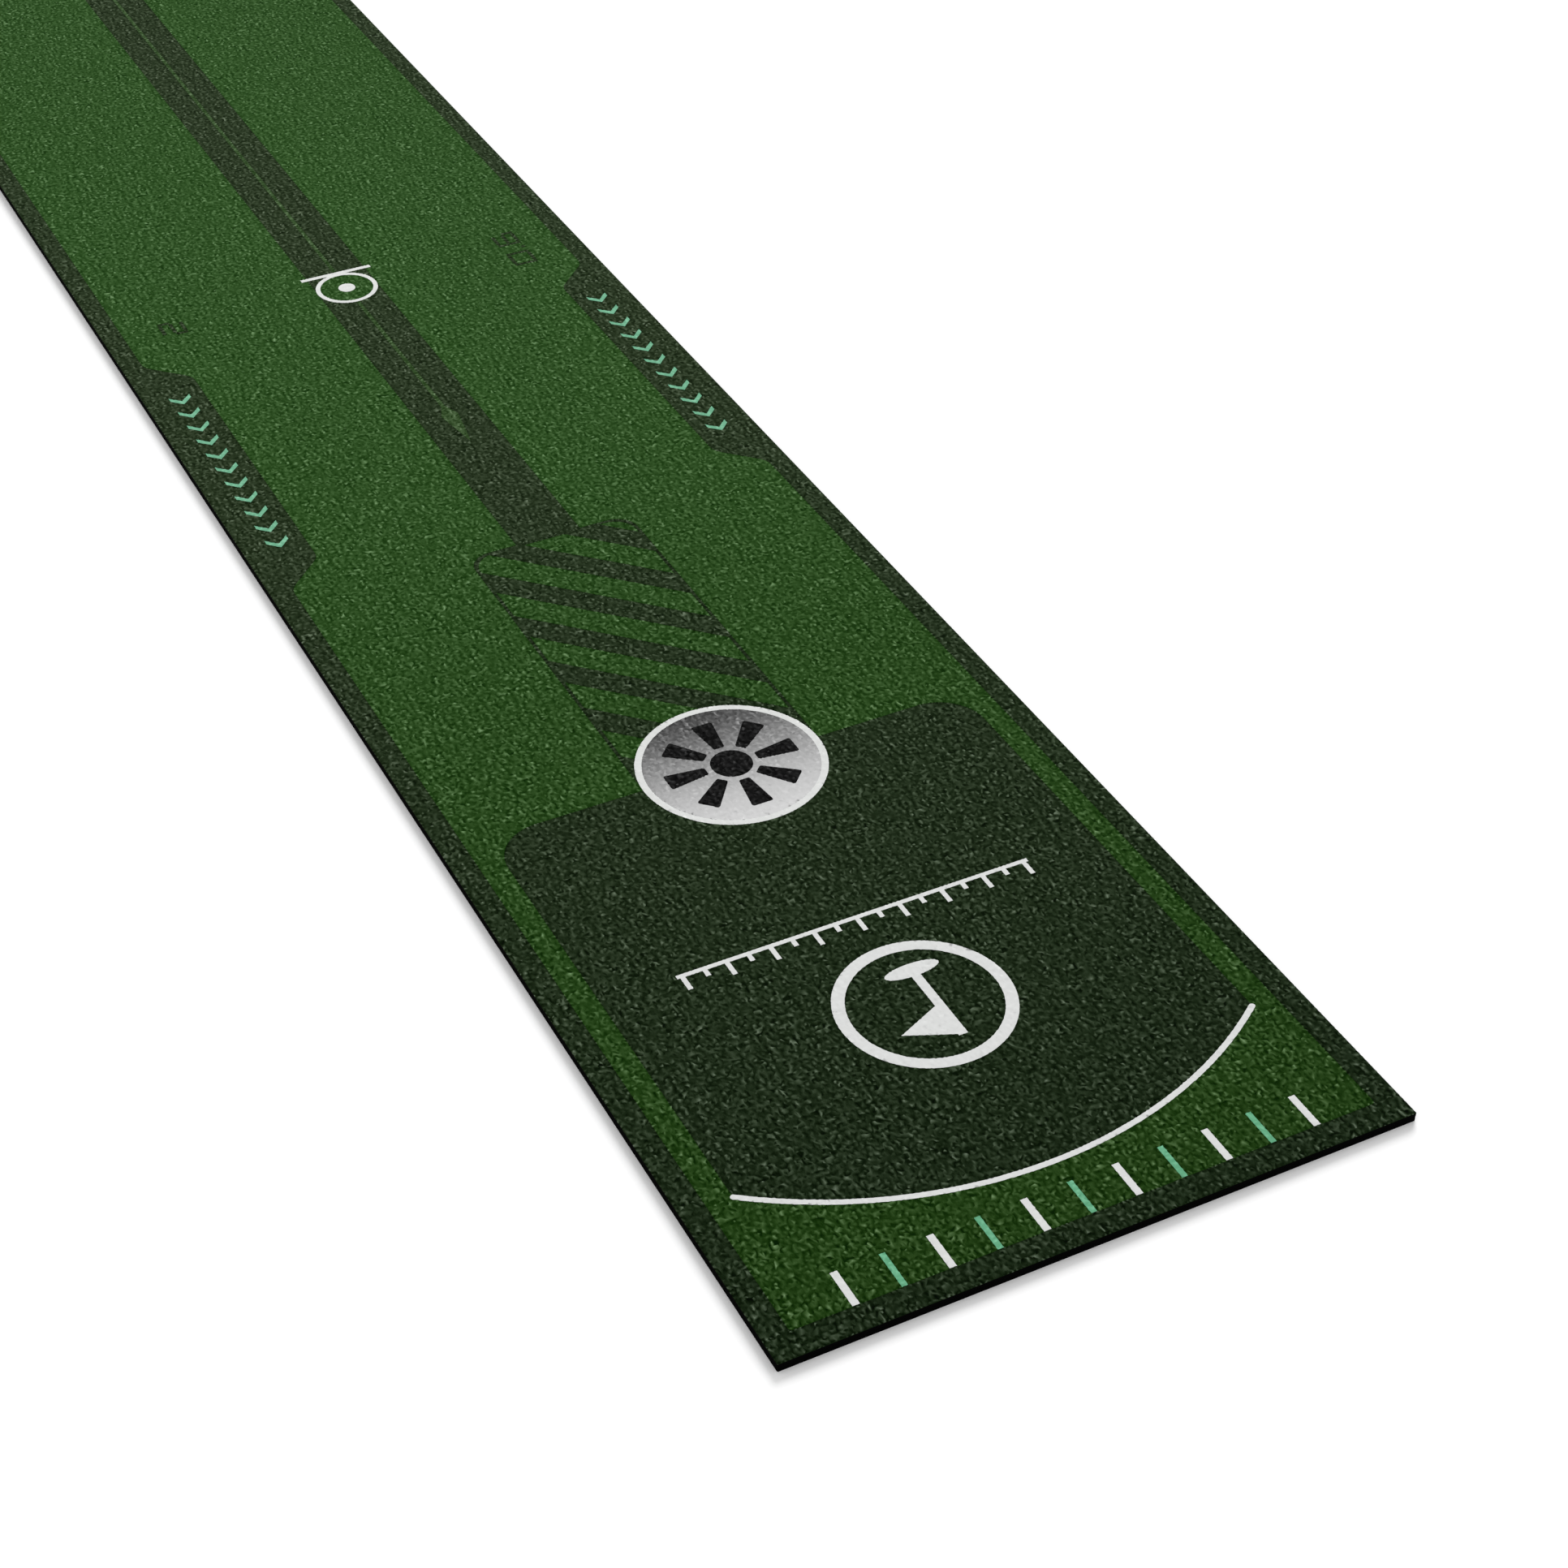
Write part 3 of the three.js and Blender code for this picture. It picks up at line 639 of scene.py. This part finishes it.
def tuft_tones():
    """A random tone for each tuft, like those ahead and behind and unlike those beside."""
    tone = rng.gamma(TONE_SHAPE, 1 / TONE_SHAPE, len(TUFTS)).reshape(-1, TUFTS_ACROSS)
    tone += LIKE_NEXT * ((np.roll(tone, 1, 0) + np.roll(tone, -1, 0)) / 2 - 1)
    steps = range(-EVEN_OVER, EVEN_OVER + 1)
    around = sum(np.roll(tone, step, 1) for step in steps) / len(steps)
    return np.clip(tone - EVENNESS * (around - 1), 0, PALEST_TUFT).ravel()


TUFT_TONE = tuft_tones()


def rippled(points, waves):
    """The sum of the waves at each point, which depends on its place only."""
    return sum(np.sin(points / WAVER_SIZE @ wave) for wave in waves)


def waver(points):
    """Small sideways wander of tufts, the same for every piece, so that print edges match."""
    ripple = np.stack([rippled(points, WAVER_X_WAVES), rippled(points, WAVER_Y_WAVES)], 1)
    moved = points + WAVER / 2 * ripple
    on_edge = np.abs(np.abs(points) - (HIGH.x, HIGH.y)) < ON_EDGE
    return np.where(on_edge, points, np.clip(moved, (LOW.x, LOW.y), (HIGH.x, HIGH.y)))


def edge_tone(points):
    """Tuft tone on print edges, the same for every piece, so that both sides match."""
    return -np.log(TONE_MIDDLE - TONE_SWING * rippled(points, TONE_WAVES))


def pile_height(points, tone):
    """Pale tufts stand high and dark ones low, and the pile rolls over at the mat's edge."""
    roll = np.clip(1 - from_mat_edge(points) / ROLL_OFF, 0, 1) ** 2
    return PILE_TOP + TUFT_PROUD - TUFT_DEPTH * np.exp(-tone) - ROLL_DROP * roll


def is_line(name):
    """Whether a node or piece is part of the thin aiming line, whose arrow is drawn with it."""
    return name.startswith("aim_")


def add_pile(name, loops, slot, stands_for=(), lengths=1):
    """Closed pieces of pile over fine outlines, cut across into lengths from the far end."""
    border = np.concatenate(loops)
    low, high = border.min(0), border.max(0)
    within = ((TUFTS > low) & (TUFTS < high)).all(1)
    within[within] = inside(TUFTS[within], *sides(loops))
    within[within] = clear_of(TUFTS[within], border, EDGE_CLEARANCE)
    points, faces, source = triangulated(loops, TUFTS[within])
    tone = np.concatenate([edge_tone(border), TUFT_TONE[within]])[source]
    height = pile_height(points, tone)
    looks = [THIN_LINE if is_line(name) else MATERIALS[slot], PILE_WALL_SHADE]
    rows = [(share, 0.0) for share in PILE_WALL_LINES]
    middle = points[faces].mean(1)[:, 1]
    cuts = high[1] - LENGTH_OF_PIECE * np.arange(lengths, -1, -1)
    which = np.clip(np.searchsorted(cuts, middle) - 1, 0, lengths - 1)
    pieces = []
    for number in range(lengths):
        piece_name = name if lengths == 1 else f"{name}_{number + 1}"
        part = faces[which == number]
        piece = add_slab(piece_name, points, part, height, PILE_BASE, looks, rows, tone, waver)
        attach(piece, "root")
        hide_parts(*stands_for)
        pieces.append(piece)
    return pieces


def segment_bars():
    """The seven bars of a numeral as (x0, x1, y0, y1), x along the numeral and y up it."""
    w, h, s, g = NUMERAL_WIDTH, NUMERAL_HEIGHT, NUMERAL_STROKE, NUMERAL_GAP
    across = (s + g, w - s - g)
    lower = (g, h / 2 - g / 2)
    upper = (h / 2 + g / 2, h - g)
    return {
        "a": (*across, h - s, h),
        "g": (*across, h / 2 - s / 2, h / 2 + s / 2),
        "d": (*across, 0.0, s),
        "f": (0.0, s, *upper),
        "b": (w - s, w, *upper),
        "e": (0.0, s, *lower),
        "c": (w - s, w, *lower),
    }


NUMERAL_BARS = {
    "0": "abcdef", "1": "bc", "2": "abged", "4": "fgbc", "6": "afgedc", "8": "abcdefg",
}


def numeral_loops(text, centre):
    """Bars of a number that reads along +Y with its top towards -X, centred on a point."""
    segments = segment_bars()
    bars, pen = [], 0.0
    for sign in text:
        if sign == ".":
            bars.append((pen, pen + NUMERAL_STROKE, 0.0, NUMERAL_STROKE))
            pen += NUMERAL_STROKE + NUMERAL_SPACING
            continue
        for key in NUMERAL_BARS[sign]:
            x0, x1, y0, y1 = segments[key]
            bars.append((pen + x0, pen + x1, y0, y1))
        pen += NUMERAL_WIDTH + NUMERAL_SPACING
    half = (pen - NUMERAL_SPACING) / 2
    loops = []
    for x0, x1, y0, y1 in bars:
        corners = [(x0, y0), (x1, y0), (x1, y1), (x0, y1)]
        placed = [(centre[0] + NUMERAL_HEIGHT / 2 - v, centre[1] + u - half) for u, v in corners]
        loops.append(resampled(np.array(placed), OUTLINE_STEP))
    return loops


def numerals():
    """Outlines of every distance number, by piece name."""
    low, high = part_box("field")
    found = {}
    for i, (feet, metres) in enumerate(zip(MARK_FEET, MARK_METRES)):
        ring_low, ring_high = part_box(f"ball_mark_ground_{i + 1}")
        y = (ring_low.y + ring_high.y) / 2
        found[f"number_feet_{i + 1}"] = numeral_loops(feet, (low.x + NUMERAL_FROM_EDGE, y))
        found[f"number_metres_{i + 1}"] = numeral_loops(metres, (high.x - NUMERAL_FROM_EDGE, y))
    return found


def fitted(outlines, node, slot, lines, pale):
    """Outlines of one dyed area, moved to meet their neighbours in the gap between them.

    lines and pale hold the points of every aiming line's and every pale area's outlines."""
    if slot in PALE_SLOTS:
        return [grown(loop, -PALE_TRIM) for loop in outlines]
    loops = []
    for loop in outlines:
        if is_line(node):
            amount = HALF_GAP + LINE_SPREAD
        else:
            beside_line = ~clear_of(loop, lines, BESIDE)
            amount = np.where(beside_line, HALF_GAP - LINE_SPREAD, HALF_GAP)
        beside_pale = ~clear_of(loop, pale, BESIDE)
        loops.append(grown(loop, np.where(beside_pale, 2 * HALF_GAP + PALE_TRIM, amount)))
    return loops


def build_pile():
    printed = numerals()
    slots = {p["node"]: p["material_slot"] for p in frame["record"]["subparts"]}
    areas = {node: slot for node, slot in slots.items() if slot.startswith("pile")}
    outlines = {node: [resampled(loop, OUTLINE_STEP) for loop in top_loops(node)] for node in areas}
    lines = np.concatenate([loop for node in areas if is_line(node) for loop in outlines[node]])
    pale_nodes = [node for node, slot in areas.items() if slot in PALE_SLOTS]
    pale = np.concatenate([loop for node in pale_nodes for loop in outlines[node]])
    pieces = []
    for node, slot in areas.items():
        loops = fitted(outlines[node], node, slot, lines, pale)
        if node == "field":
            loops += [loop for bars in printed.values() for loop in bars]
        low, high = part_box(node)
        lengths = math.ceil((high.y - low.y) / LENGTH_OF_PIECE)
        pieces += add_pile(f"{node}_pile", loops, slot, [node], lengths)
    for name, bars in printed.items():
        pieces += add_pile(name, bars, "pile_dark")
    return pieces


# ---- rubber and backing ----


def build_rubber():
    """A flat sheet with egg-crate dimples underneath and a plain rim down to the floor."""
    loops = [resampled(loop, DIMPLE_PITCH) for loop in top_loops("rubber_base")]
    border = np.concatenate(loops)
    grid = scattered(DIMPLE_PITCH, DIMPLE_PITCH, 0.0)
    grid = grid[inside(grid, *sides(loops))]
    grid = grid[clear_of(grid, border, DIMPLE_CLEARANCE)]
    points, faces, _ = triangulated(loops, grid)
    column = np.round((points[:, 0] - LOW.x) / DIMPLE_PITCH * 2)
    row = np.round((points[:, 1] - LOW.y) / DIMPLE_PITCH - 0.5)
    height = np.where((column + row) % 4 < 2, DIMPLE_DEPTH, 0.0)
    height[:len(border)] = 0.0
    looks = [MATERIALS["rubber"], RUBBER_WALL_SHADE]
    rows = [(share, 0.0) for share in RUBBER_WALL_LINES]
    piece = add_slab("rubber_base_moulded", points, faces, height, HIGH.z, looks, rows)
    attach(piece, "root")
    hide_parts("rubber_base")
    return piece


def build_backing(rubber, pile):
    """The cloth that the tufts stand in: its warp and weft ends swell a little at the cut edge."""
    low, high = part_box("primary_backing")
    loops = [resampled(loop, YARN_STEP) for loop in top_loops("primary_backing")]
    points, faces, _ = triangulated(loops, np.zeros((0, 2)))
    swell = np.arange(len(points)) % 2 * YARN_SWELL
    rows = list(zip(CLOTH_WALL_LINES, (swell, YARN_SWELL - swell)))
    height = np.full(len(points), high.z)
    looks = [MATERIALS["backing"]]
    piece = add_slab("primary_backing_cloth", points, faces, height, low.z, looks, rows)
    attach(piece, "root")
    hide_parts("primary_backing")


add_camera()
add_light()
add_floor()
build_backing(build_rubber(), build_pile())
